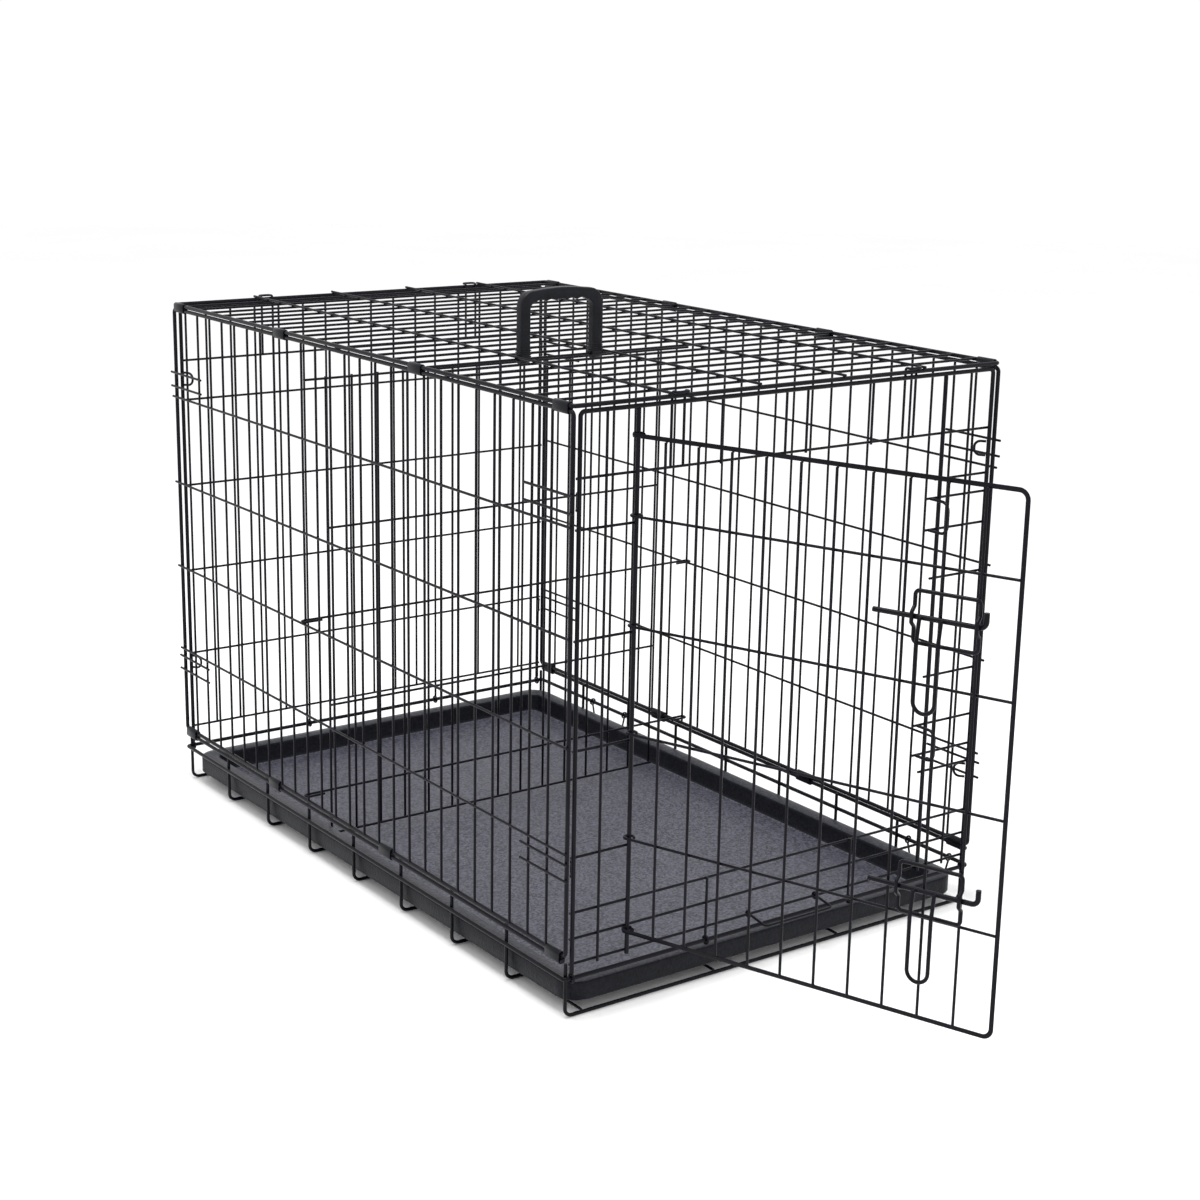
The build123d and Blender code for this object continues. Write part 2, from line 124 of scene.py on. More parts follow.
# ---- Wire base ----
# Nine up-turned cross wires, floor wires laid over them, a mid rail bent round all four sides and
# two top rails, spot-welded at each crossing. A wire is a drawn rod bent round pins, so it is made
# as a route with a bend at each corner, then swept; a weld leaves a small nugget at the crossing.
FRAME_R, MESH_R, CROSS_R = 0.0024, 0.0015, 0.002
FRAME_BEND, CROSS_BEND, MID_RAIL_BEND = 0.005, 0.009, 0.0044
TOUCH = 0.00005
LAY = FRAME_R + MESH_R + TOUCH
OVER = 2 * MESH_R + TOUCH
BUTT = FRAME_R + TOUCH
HALF_L, HALF_W = 0.450, 0.2915
END_PROUD = 0.003
MID_RAIL_Z, TOP_RAIL_Z, RAIL_X = 0.046, 0.066, 0.29245
NUGGET_R = 0.0014


def start_tree(name, inputs):
    tree = bpy.data.node_groups.new(name, "GeometryNodeTree")
    tree.interface.new_socket("Geometry", in_out="INPUT", socket_type="NodeSocketGeometry")
    for label, kind in inputs:
        tree.interface.new_socket(label, in_out="INPUT", socket_type=kind)
    tree.interface.new_socket("Geometry", in_out="OUTPUT", socket_type="NodeSocketGeometry")
    return tree, add_node(tree, "NodeGroupInput").outputs


def end_tree(tree, geometry, finish):
    """Smooth faces, real geometry and a material, which every tree ends in."""
    smooth = add_node(tree, "GeometryNodeSetShadeSmooth", inputs={"Geometry": geometry})
    real = add_node(tree, "GeometryNodeRealizeInstances", inputs={"Geometry": smooth.outputs[0]})
    coated = add_node(
        tree, "GeometryNodeSetMaterial", inputs={"Geometry": real.outputs[0], "Material": finish},
    )
    add_node(tree, "NodeGroupOutput", inputs={"Geometry": coated.outputs[0]})
    return tree


def bent_wire_tree():
    """Edges become wire: each corner is bent to its own radius, and each end is sheared off round."""
    kinds = [("Wire radius", "NodeSocketFloat"), ("Sides", "NodeSocketInt")]
    kinds += [("Bend steps", "NodeSocketInt"), ("Coating", "NodeSocketMaterial")]
    tree, given = start_tree("Bent wire", kinds)
    route = add_node(tree, "GeometryNodeMeshToCurve", inputs={"Mesh": given["Geometry"]})
    bend = add_node(
        tree, "GeometryNodeInputNamedAttribute", {"data_type": "FLOAT"}, {"Name": "bend"},
    )
    bent = add_node(
        tree, "GeometryNodeFilletCurve", {"mode": "POLY"},
        {"Curve": route.outputs[0], "Count": given["Bend steps"], "Radius": bend.outputs["Attribute"],
         "Limit Radius": True},
    )
    end = add_node(
        tree, "GeometryNodeInputNamedAttribute", {"data_type": "FLOAT"}, {"Name": "thickness"},
    )
    shaped = add_node(
        tree, "GeometryNodeSetCurveRadius",
        inputs={"Curve": bent.outputs[0], "Radius": end.outputs["Attribute"]},
    )
    section = add_node(
        tree, "GeometryNodeCurvePrimitiveCircle",
        inputs={"Resolution": given["Sides"], "Radius": given["Wire radius"]},
    )
    tube = add_node(
        tree, "GeometryNodeCurveToMesh",
        inputs={"Curve": shaped.outputs[0], "Profile Curve": section.outputs[0], "Fill Caps": True},
    )
    return end_tree(tree, tube.outputs[0], given["Coating"])


def nugget_tree():
    """A small lump of weld at each point."""
    kinds = [("Nugget radius", "NodeSocketFloat"), ("Coating", "NodeSocketMaterial")]
    tree, given = start_tree("Weld nuggets", kinds)
    lump = add_node(
        tree, "GeometryNodeMeshIcoSphere", inputs={"Radius": given["Nugget radius"], "Subdivisions": 1},
    )
    placed = add_node(
        tree, "GeometryNodeInstanceOnPoints",
        inputs={"Points": given["Geometry"], "Instance": lump.outputs[0]},
    )
    return end_tree(tree, placed.outputs[0], given["Coating"])


BENT_WIRE, NUGGETS = bent_wire_tree(), nugget_tree()


def new_piece(name, verts, edges=(), faces=()):
    mesh = bpy.data.meshes.new(name)
    mesh.from_pydata([tuple(v) for v in verts], list(edges), list(faces))
    piece = bpy.data.objects.new(name, mesh)
    bpy.context.scene.collection.objects.link(piece)
    return piece


def grow(piece, tree, values):
    """Runs a geometry tree on a piece and keeps the result as its plain mesh."""
    modifier = piece.modifiers.new(tree.name, "NODES")
    modifier.node_group = tree
    for item in tree.interface.items_tree:
        if item.name in values:
            modifier[item.identifier] = values[item.name]
    settle(piece)


def settle(piece):
    """Applies a piece's modifiers and turns its faces outwards."""
    depsgraph = bpy.context.evaluated_depsgraph_get()
    mesh = bpy.data.meshes.new_from_object(piece.evaluated_get(depsgraph), depsgraph=depsgraph)
    piece.modifiers.clear()
    piece.data = mesh
    form = bmesh.new()
    form.from_mesh(mesh)
    bmesh.ops.recalc_face_normals(form, faces=form.faces)
    form.to_mesh(mesh)
    form.free()


def fit(piece, body, nodes):
    """Puts a finished piece on its body, in place of the plain parts it covers."""
    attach(piece, body)
    if nodes:
        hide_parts(*nodes)


def straight(*runs):
    """Straight wires, each given by its two ends."""
    return [(run, 0.0, False) for run in runs]


def wire_piece(name, routes, radius, body, nodes, sides=12):
    """Like wires in one piece. A route is (points, bend radius at its corners, closed or not)."""
    SHEAR = ((0.0, 0.62), (0.28, 0.9))
    verts, edges, bends, thick = [], [], [], []
    for points, bend, closed in routes:
        points = [Vector(p) for p in points]
        corners = list(bend) if isinstance(bend, (list, tuple)) else [bend] * len(points)
        widths = [1.0] * len(points)
        if not closed:
            if not isinstance(bend, (list, tuple)):
                corners[0] = corners[-1] = 0.0
            for end, inward in ((0, 1), (-1, -2)):
                tip, along = points[end], (points[inward] - points[end]).normalized()
                rounded = [(tip + along * radius * far, 0.0, wide) for far, wide in SHEAR]
                rounded.append((tip + along * radius * 0.7, 0.0, 1.0))
                rounded = rounded if end == 0 else rounded[::-1]
                at = slice(0, 1) if end == 0 else slice(-1, None)
                points[at] = [r[0] for r in rounded]
                corners[at] = [r[1] for r in rounded]
                widths[at] = [r[2] for r in rounded]
        first = len(verts)
        verts += points
        bends += corners
        thick += widths
        edges += [(i, i + 1) for i in range(first, len(verts) - 1)]
        if closed:
            edges.append((len(verts) - 1, first))
    piece = new_piece(name, verts, edges)
    for label, values in (("bend", bends), ("thickness", thick)):
        piece.data.attributes.new(label, "FLOAT", "POINT").data.foreach_set("value", values)
    grow(piece, BENT_WIRE, {"Wire radius": radius, "Sides": sides, "Bend steps": 8, "Coating": WIRE_COAT})
    fit(piece, body, nodes)


def weld(name, points, body, size=NUGGET_R):
    """A nugget of weld at each point, all in one piece."""
    piece = new_piece(name, points)
    grow(piece, NUGGETS, {"Nugget radius": size, "Coating": WIRE_COAT})
    fit(piece, body, [])


def ring_route(middle, across, up, radius, turn=2 * pi, start=0.0, steps=28):
    """Points on an arc about middle, from the across direction towards up."""
    count = steps if turn >= 2 * pi - 1e-6 else steps + 1
    angles = [start + turn * i / steps for i in range(count)]
    return [middle + across * (radius * cos(a)) + up * (radius * sin(a)) for a in angles]


X, Y, Z = Vector((1, 0, 0)), Vector((0, 1, 0)), Vector((0, 0, 1))
CROSS_X, CROSS_END = 0.288, HALF_L - FRAME_R - CROSS_R - TOUCH
cross_ys = [CROSS_END * (1 - i / 4) for i in range(9)]
cross_routes, base_welds = [], []
for y in cross_ys:
    top = TOP_RAIL_Z + 0.002 if abs(y) < CROSS_END else TOP_RAIL_Z - 0.0042
    ends = [(-CROSS_X, y, top), (-CROSS_X, y, CROSS_R), (CROSS_X, y, CROSS_R), (CROSS_X, y, top)]
    cross_routes.append((ends, CROSS_BEND, False))
    for side in (-1, 1):
        touch_x = side * (CROSS_X + CROSS_R)
        base_welds.append((touch_x, y, MID_RAIL_Z))
        if abs(y) < CROSS_END:
            base_welds.append((touch_x, y, TOP_RAIL_Z))
wire_piece("base_cross_wire_set", cross_routes, CROSS_R, "crate", ["base_cross_wires"])

FLOOR_XS, FLOOR_Z = (-0.268, -0.090, 0.090, 0.268), 2 * CROSS_R + MESH_R + TOUCH
reach = HALF_L - END_PROUD
wire_piece(
    "base_floor_wire_set", straight(*[((x, -reach, FLOOR_Z), (x, reach, FLOOR_Z)) for x in FLOOR_XS]),
    MESH_R, "crate", ["base_floor_wires"],
)
base_welds += [(x, y, 2 * CROSS_R) for x in FLOOR_XS for y in cross_ys]
rail = [(x, y, MID_RAIL_Z) for x, y in
        ((0, -HALF_L), (RAIL_X, -HALF_L), (RAIL_X, HALF_L), (-RAIL_X, HALF_L), (-RAIL_X, -HALF_L))]
wire_piece(
    "base_mid_rail_wire", [(rail, [0.0] + [MID_RAIL_BEND] * 4, True)],
    FRAME_R, "crate", ["base_mid_rail"], 16,
)
wire_piece(
    "base_top_rail_wires",
    straight(*[((s * RAIL_X, -reach, TOP_RAIL_Z), (s * RAIL_X, reach, TOP_RAIL_Z)) for s in (-1, 1)]),
    FRAME_R, "crate", ["base_top_rails"], 16,
)
weld("base_welds", base_welds, "crate")


# ---- Side panels ----
# Each side is a frame wire bent to a rectangle, upright mesh wires butted inside it, four rails laid
# over the outside, and short paired catch wires that stand proud of both ends.
SIDE_LOW, SIDE_TOP = 0.072, 0.6425
BAYS = 26
PITCH = 2 * HALF_L / BAYS
UPRIGHT_OFF = LAY - OVER
CATCH_ZS, CATCH_GAP, CATCH_IN, CATCH_OUT = (0.551, 0.166), 0.009, 0.080, 0.006
side_rail_zs = [SIDE_LOW + (SIDE_TOP - SIDE_LOW) * k / 5 for k in range(1, 5)]
upright_ys = [-HALF_L + PITCH * i for i in range(1, BAYS)]
for name, side in (("left", -1), ("right", 1)):
    x, upright_x, rail_x = (side * (HALF_W + off) for off in (0.0, UPRIGHT_OFF, LAY))
    corners = ((0, SIDE_LOW), (HALF_L, SIDE_LOW), (HALF_L, SIDE_TOP))
    corners += ((-HALF_L, SIDE_TOP), (-HALF_L, SIDE_LOW))
    wire_piece(
        f"{name}_side_frame_wire", [([(x, y, z) for y, z in corners], [0.0] + [FRAME_BEND] * 4, True)],
        FRAME_R, "crate", [f"{name}_side_frame"], 16,
    )
    low, high = SIDE_LOW + BUTT, SIDE_TOP - BUTT
    wire_piece(
        f"{name}_side_upright_wires",
        straight(*[((upright_x, y, low), (upright_x, y, high)) for y in upright_ys]),
        MESH_R, "crate", [f"{name}_side_uprights"], 10,
    )
    reach = HALF_L + END_PROUD
    wire_piece(
        f"{name}_side_rail_wires",
        straight(*[((rail_x, -reach, z), (rail_x, reach, z)) for z in side_rail_zs]),
        MESH_R, "crate", [f"{name}_side_rails"],
    )
    catch_zs = [z + dz for z in CATCH_ZS for dz in (-CATCH_GAP, CATCH_GAP)]
    wire_piece(
        f"{name}_side_catch_wires",
        straight(*[((rail_x, end * (HALF_L - CATCH_IN), z), (rail_x, end * (HALF_L + CATCH_OUT), z))
                   for z in catch_zs for end in (-1, 1)]),
        MESH_R, "crate", [f"{name}_side_ears"],
    )
    cross_x, frame_x = side * (HALF_W + LAY - MESH_R), side * (HALF_W + FRAME_R)
    spots = [(cross_x, y, z) for y in upright_ys for z in side_rail_zs]
    spots += [(upright_x, y, z) for y in upright_ys for z in (low, high)]
    spots += [(frame_x, end * HALF_L, z) for end in (-1, 1) for z in side_rail_zs + catch_zs]
    last_two = upright_ys[:-3:-1]
    spots += [(cross_x, end * y, z) for end in (-1, 1) for y in last_two for z in catch_zs]
    weld(f"{name}_side_welds", spots, "crate")


# ---- Top panel ----
# The same build laid flat: a frame wire, cross wires butted inside it, and four long wires over them.
TOP_Z = 0.648
long_z, cross_z = TOP_Z + LAY, TOP_Z + UPRIGHT_OFF
LONG_XS = [HALF_W * k / 5 for k in (-3, -1, 1, 3)]
corners = ((0, -HALF_L), (HALF_W, -HALF_L), (HALF_W, HALF_L), (-HALF_W, HALF_L), (-HALF_W, -HALF_L))
wire_piece(
    "top_frame_wire", [([(x, y, TOP_Z) for x, y in corners], [0.0] + [FRAME_BEND] * 4, True)],
    FRAME_R, "crate", ["top_frame"], 16,
)
reach_x, reach_y = HALF_W - BUTT, HALF_L + END_PROUD
wire_piece(
    "top_cross_wire_set",
    straight(*[((-reach_x, y, cross_z), (reach_x, y, cross_z)) for y in upright_ys]),
    MESH_R, "crate", ["top_cross_wires"], 10,
)
wire_piece(
    "top_long_wire_set",
    straight(*[((x, -reach_y, long_z), (x, reach_y, long_z)) for x in LONG_XS]),
    MESH_R, "crate", ["top_long_wires"],
)
spots = [(x, y, long_z - MESH_R) for x in LONG_XS for y in upright_ys]
spots += [(s * reach_x, y, cross_z) for s in (-1, 1) for y in upright_ys]
spots += [(x, end * HALF_L, TOP_Z + FRAME_R) for x in LONG_XS for end in (-1, 1)]
weld("top_welds", spots, "crate")


# ---- Hinge sleeves ----
# Strips of 0.9 mm sheet steel rolled round the two wires they join, with the seam closed on the
# inside of the crate. They let the sides and the top fold, and hide the pair of wires between them.
SHEET, SEAM = 0.0009, 0.0004


def rolled_section(bore, half_gap, outer):
    """Points round a flat-sided roll, standing on end, that starts and stops at its seam."""
    radius = bore + (SHEET if outer else 0.0)
    points = [(-radius, SEAM)]
    for start, middle in ((pi, half_gap), (0.0, -half_gap)):
        turns = [start - pi * i / 10 for i in range(11)]
        points += [(radius * cos(turn), middle + radius * sin(turn)) for turn in turns]
    points.append((-radius, -SEAM))
    return points


def hinge_sleeves(node, name):
    """Rolls for every solid of a CAD node, found from the gaps between their ends."""
    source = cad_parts[node].data
    groups = {}
    for vertex in source.vertices:
        key = (vertex.co.x > 0, round(vertex.co.y / 0.035))
        groups.setdefault(key, []).append(vertex.co)
    merged = {}
    for (right, row), found in sorted(groups.items()):
        near = [k for k in merged if k[0] == right and abs(k[1] - row) <= 1]
        merged.setdefault(near[0] if near else (right, row), []).extend(found)
    form = bmesh.new()
    for (right, _), found in merged.items():
        lows = [min(c[i] for c in found) for i in range(3)]
        highs = [max(c[i] for c in found) for i in range(3)]
        outer_r = (highs[0] - lows[0]) / 2
        middle_x, middle_z = (highs[0] + lows[0]) / 2, (highs[2] + lows[2]) / 2
        half_gap = (highs[2] - lows[2]) / 2 - outer_r
        inward = 1 if right else -1
        outline = rolled_section(outer_r - SHEET, half_gap, True)
        outline += rolled_section(outer_r - SHEET, half_gap, False)[::-1]
        ends = []
        for y in (lows[1], highs[1]):
            ends.append([form.verts.new((middle_x + inward * u, y, middle_z + v)) for u, v in outline])
        count = len(outline)
        half = count // 2
        for i in range(count):
            j = (i + 1) % count
            form.faces.new((ends[0][i], ends[0][j], ends[1][j], ends[1][i]))
        for end in ends:
            for i in range(half - 1):
                form.faces.new((end[i], end[i + 1], end[count - 2 - i], end[count - 1 - i]))
    bmesh.ops.recalc_face_normals(form, faces=form.faces)
    piece = new_piece(name, [])
    form.to_mesh(piece.data)
    form.free()
    edge = piece.modifiers.new("deburred edge", "BEVEL")
    edge.width, edge.segments, edge.limit_method = 0.00022, 2, "ANGLE"
    edge.angle_limit = radians(50)
    piece.data.materials.append(SHEET_COAT)
    settle(piece)
    piece.data.shade_smooth()
    piece.data.set_sharp_from_angle(angle=radians(40))
    fit(piece, "crate", [node])


hinge_sleeves("top_hinge_sleeves", "top_hinge_sleeve_set")
hinge_sleeves("bottom_hinge_sleeves", "bottom_hinge_sleeve_set")


# ---- End panels ----
# Each end is an up-turned U of frame wire with mesh wires inside it. Rings at the foot turn on the
# base mid rail, two hooks reach over the edge of the top panel, and small loops on the posts catch
# the paired wires of the side panels.
POST_X, POST_TOP, HEADER_Z = 0.2833, 0.642, 0.575
STUB_ZS, SILL_ZS = (0.523, 0.409, 0.293, 0.178), (0.117, 0.088, 0.060)
RING_XS, HOOK_XS, RAIL_END = (-POST_X, -0.105, 0.103, POST_X), (-0.160, 0.160), 0.2842
RUN_GAP = 0.0003
RING_TUBE = FRAME_R + RUN_GAP + MESH_R
RING_TOP = MID_RAIL_Z + RING_TUBE + MESH_R + TOUCH
UNDER_TOP = POST_TOP - BUTT


def end_panel(name, end, uprights, rails, thick_uprights=()):
    """An end panel; uprights and rails are (place, low, high), and a low of None stands on a ring."""
    y, upright_y, rail_y = (end * (HALF_L - off) for off in (0.0, UPRIGHT_OFF, LAY))
    body = f"{name}_panel"
    posts = [(-POST_X, y, RING_TOP), (-POST_X, y, POST_TOP), (POST_X, y, POST_TOP), (POST_X, y, RING_TOP)]
    wire_piece(f"{name}_frame_wire", [(posts, FRAME_BEND, False)], FRAME_R, body, [f"{name}_frame"], 16)
    stood = [(x, RING_TOP if low is None else low, high) for x, low, high in uprights]
    wire_piece(
        f"{name}_upright_wires",
        straight(*[((x, upright_y, low), (x, upright_y, high)) for x, low, high in stood]),
        MESH_R, body, [f"{name}_uprights"],
    )
    wire_piece(
        f"{name}_rail_wires", straight(*[((low, rail_y, z), (high, rail_y, z)) for z, low, high in rails]),
        MESH_R, body, [f"{name}_rails"],
    )
    rings = [(ring_route(Vector((x, y, MID_RAIL_Z)), Y, Z, RING_TUBE), 0.0, True) for x in RING_XS]
    wire_piece(f"{name}_ring_wires", rings, MESH_R, body, [f"{name}_hinge_rings"])
    leg_y, tip_y = end * (HALF_L - LAY - RUN_GAP), end * (HALF_L + 0.004)
    over_z, foot_z = TOP_Z + FRAME_R + RUN_GAP + MESH_R, HEADER_Z + MESH_R + TOUCH
    hooks = []
    for x in HOOK_XS:
        a, b = x - 0.008, x + 0.008
        points = [(a, leg_y, foot_z), (a, leg_y, over_z), (a, tip_y, over_z)]
        points += [(b, tip_y, over_z), (b, leg_y, over_z), (b, leg_y, foot_z)]
        hooks.append((points, 0.0032, False))
    wire_piece(f"{name}_hook_wires", hooks, MESH_R, body, [f"{name}_top_hooks"])
    loops = []
    for side in (-1, 1):
        for z in CATCH_ZS:
            foot, tip = (side * POST_X, rail_y), (side * (POST_X - 0.0078), rail_y - end * 0.0104)
            points = [(*foot, z + 0.008), (*tip, z + 0.008), (*tip, z - 0.008), (*foot, z - 0.008)]
            loops.append((points, 0.007, False))
    wire_piece(f"{name}_catch_loops", loops, MESH_R, body, [f"{name}_post_loops"])
    cross_y, frame_y = end * (HALF_L - LAY + MESH_R), end * (HALF_L - FRAME_R)
    spots = [(x, cross_y, z) for x, low, high in stood for z, left, right in rails
             if left < x < right and low <= z <= high]
    frame_xs = [-POST_X, POST_X, *thick_uprights]
    spots += [(x, frame_y, z) for x in frame_xs for z, left, right in rails if left < x < right]
    spots += [(x, upright_y, high) for x, low, high in stood if high == UNDER_TOP]
    spots += [(x, (y + upright_y) / 2, RING_TOP) for x in RING_XS]
    weld(f"{name}_welds", spots, body)


jamb_xs = (-0.2125, 0.210)
hinge_x, latch_x = jamb_xs
sill_foot = SILL_ZS[-1] - 0.003
BOLT_ZS = {"upper": 0.483, "lower": 0.217}
KEEPER_R, KEEPER_X, KEEPER_OUT, KEEPER_HALF = 0.00175, 0.1995, 0.026, 0.018
keeper_edges = (-KEEPER_HALF, KEEPER_HALF)
keeper_zs = [z + 0.001 for z in BOLT_ZS.values()]
front_uprights = [(-0.250, sill_foot, UNDER_TOP), (0.2505, sill_foot, UNDER_TOP)]
front_uprights += [(x, HEADER_Z - 0.002, UNDER_TOP) for x in (RING_XS[1], -0.019, 0.010, RING_XS[2])]
front_uprights += [(x, None, SILL_ZS[0] + 0.002) for x in RING_XS[1:3]]
front_rails = [(z, -RAIL_END, RAIL_END) for z in (HEADER_Z, *SILL_ZS)]
front_rails += [(z, -RAIL_END, hinge_x + 0.004) for z in STUB_ZS]
front_rails += [(z, latch_x - 0.004, RAIL_END) for z in STUB_ZS]
front_rails += [(z + dz, KEEPER_X - 0.005, RAIL_END) for z in keeper_zs for dz in keeper_edges]
end_panel("front", -1, front_uprights, front_rails, jamb_xs)
wire_piece(
    "front_jamb_wires", straight(*[((x, -HALF_L, sill_foot), (x, -HALF_L, UNDER_TOP)) for x in jamb_xs]),
    FRAME_R, "front_panel", ["front_door_jambs"], 16,
)

BACK_LOW = 0.075
back_uprights = []
for i in range(1, 16):
    if i in (5, 11):
        back_uprights.append((RING_XS[1] if i == 5 else RING_XS[2], None, UNDER_TOP))
    else:
        back_uprights.append((-POST_X + POST_X * i / 8, BACK_LOW - 0.002, UNDER_TOP))
back_rails = [(z, -RAIL_END, RAIL_END) for z in (HEADER_Z, *STUB_ZS, BACK_LOW)]
end_panel("back", 1, back_uprights, back_rails)


# ---- Bolt keepers ----
# Loops of wire welded to stubs of the front panel. They pass between the door's wires when it shuts,
# and the bolts slide through them.
KEEPER_BEND, KEEPER_NUGGET_R = 0.010, 0.0017
keeper_foot = -HALF_L + LAY - MESH_R - TOUCH
keepers = []
for z in keeper_zs:
    low, high, out = z - KEEPER_HALF, z + KEEPER_HALF, -HALF_L - KEEPER_OUT
    loop = [(keeper_foot, high), (out, high), (out, low), (keeper_foot, low)]
    keepers.append(([(KEEPER_X, *corner) for corner in loop], KEEPER_BEND, False))
wire_piece("front_keeper_loops", keepers, KEEPER_R, "front_panel", ["front_bolt_keepers"])
keeper_feet = [(KEEPER_X, keeper_foot, z + dz) for z in keeper_zs for dz in keeper_edges]
weld("front_keeper_welds", keeper_feet, "front_panel", KEEPER_NUGGET_R)


# ---- Tray stop ----
# A U of mesh wire whose ends are curled round the lowest sill wire. It drops in front of the pan.
STOP_XS, STOP_OUT = (-0.042, 0.055), 0.030
stop_y, stop_z, eye_r = -HALF_L + LAY, SILL_ZS[-1], 2 * MESH_R + RUN_GAP
routes = [(ring_route(Vector((x, stop_y, stop_z)), Y, Z, eye_r), 0.0, True) for x in STOP_XS]
a, b = STOP_XS
points = [(a, stop_y - eye_r, stop_z), (a, stop_y - STOP_OUT, stop_z - 0.004)]
points += [(b, stop_y - STOP_OUT, stop_z - 0.004), (b, stop_y - eye_r, stop_z)]
wire_piece("tray_stop_wire", routes + [(points, 0.005, False)], MESH_R, "tray_stop", ["tray_stop"])


# ---- Door ----
# A frame wire bent round three sides, curled at both ends round the left jamb, with mesh wires laid
# over it. Its rails curl round the jamb too, so the door turns on six eyes and is shown standing open.
DOOR_ANGLE = radians(-70.4)
DOOR_W, DOOR_TOP, DOOR_LOW, DOOR_OFF = 0.418, 0.613, 0.0839, 0.0053
DOOR_RAIL_ZS = (0.531, 0.4165, 0.302, 0.1875)
DOOR_BEND, EYE_TURN = 0.009, radians(255)
ALONG = Vector((cos(DOOR_ANGLE), sin(DOOR_ANGLE), 0))
OUT = Vector((sin(DOOR_ANGLE), -cos(DOOR_ANGLE), 0))


def on_door(along, up, out):
    """A point from the hinge axis along the door, up from the floor, and out from its face."""
    return Vector((hinge_x, -HALF_L, up)) + ALONG * along + OUT * out


def door_eye(z):
    """The curl round the jamb, ending where the wire leaves it along the door's face."""
    middle = on_door(0, z, 0)
    return ring_route(middle, OUT, -ALONG, DOOR_OFF, turn=-EYE_TURN, start=EYE_TURN, steps=22)


top_eye, low_eye = door_eye(DOOR_TOP), door_eye(DOOR_LOW)
corners = [on_door(DOOR_W, z, DOOR_OFF) for z in (DOOR_TOP, DOOR_LOW)]
frame_points = top_eye + corners + low_eye[::-1]
frame_bends = [0.0] * len(top_eye) + [DOOR_BEND] * 2 + [0.0] * len(low_eye)
wire_piece(
    "door_frame_wire", [(frame_points, frame_bends, False)], FRAME_R, "door",
    ["door_frame", "door_hinge_eyes"], 16,
)
rail_routes = [(door_eye(z) + [on_door(DOOR_W - BUTT, z, DOOR_OFF)], 0.0, False) for z in DOOR_RAIL_ZS]
wire_piece("door_rail_wires", rail_routes, MESH_R, "door", ["door_rails"])
door_upright_off = DOOR_OFF + OVER
door_alongs = [DOOR_W * i / 11 for i in range(1, 11)]
ends = (DOOR_LOW + BUTT, DOOR_TOP - BUTT)
uprights = [tuple(on_door(u, z, door_upright_off) for z in ends) for u in door_alongs]
wire_piece("door_upright_wires", straight(*uprights), MESH_R, "door", ["door_uprights"])
spots = [on_door(u, z, DOOR_OFF + MESH_R) for u in door_alongs for z in DOOR_RAIL_ZS]
spots += [on_door(u, z, (DOOR_OFF + door_upright_off) / 2) for u in door_alongs for z in ends]
spots += [on_door(DOOR_W - BUTT, z, DOOR_OFF) for z in DOOR_RAIL_ZS]
weld("door_welds", spots, "door")


# ---- Slide bolts ----
# A loop of wire welded to the door is bowed out on each side to hold a rod. The rod's far end is
# turned up, and a long U of wire welded under it is the finger pull.
BOLT_R, GUIDE_R, PULL_R = 0.0026, 0.002, 0.002
bolt_off = door_upright_off + MESH_R + RUN_GAP + BOLT_R
guide_off = door_upright_off + MESH_R + GUIDE_R + TOUCH
bulge_off = bolt_off + BOLT_R + RUN_GAP + GUIDE_R
GUIDE_ALONG, GUIDE_HALF_H = (0.317, 0.3825), 0.025
ROD_ALONG, ROD_TIP = (0.275, 0.3895), 0.015
BOLT_SHIFTS = {"upper": 0.0, "lower": 0.010}
PULL_ALONG, PULL_DROP, PULL_OUT = (0.325, 0.347), 0.089, 0.009
GUIDE_BEND, BULGE_BEND, ROD_BEND = 0.0045, 0.0022, 0.0065
PULL_BENDS = [0.0, 0.020, 0.0109, 0.0109, 0.020, 0.0]
GUIDE_NUGGET_R, BOLT_NUGGET_R = 0.0017, 0.0019
guide_bends = [0.0, GUIDE_BEND] + [BULGE_BEND] * 4 + [GUIDE_BEND] * 2 + [BULGE_BEND] * 4 + [GUIDE_BEND]
guides, guide_welds = [], []
for z in BOLT_ZS.values():
    low, high = z - GUIDE_HALF_H, z + GUIDE_HALF_H
    start, stop = GUIDE_ALONG
    bulge = [(z + 0.010, guide_off), (z + 0.005, bulge_off)]
    bulge += [(z - 0.005, bulge_off), (z - 0.010, guide_off)]
    points = [on_door((start + stop) / 2, high, guide_off), on_door(start, high, guide_off)]
    points += [on_door(start, up, out) for up, out in bulge]
    points += [on_door(start, low, guide_off), on_door(stop, low, guide_off)]
    points += [on_door(stop, up, out) for up, out in reversed(bulge)]
    points.append(on_door(stop, high, guide_off))
    guides.append((points, guide_bends, True))
    guide_welds += [on_door(u, up, guide_off - GUIDE_R) for u in door_alongs[8:10] for up in (low, high)]
wire_piece("door_guide_loops", guides, GUIDE_R, "door", ["door_bolt_guides"])
weld("door_guide_welds", guide_welds, "door", GUIDE_NUGGET_R)

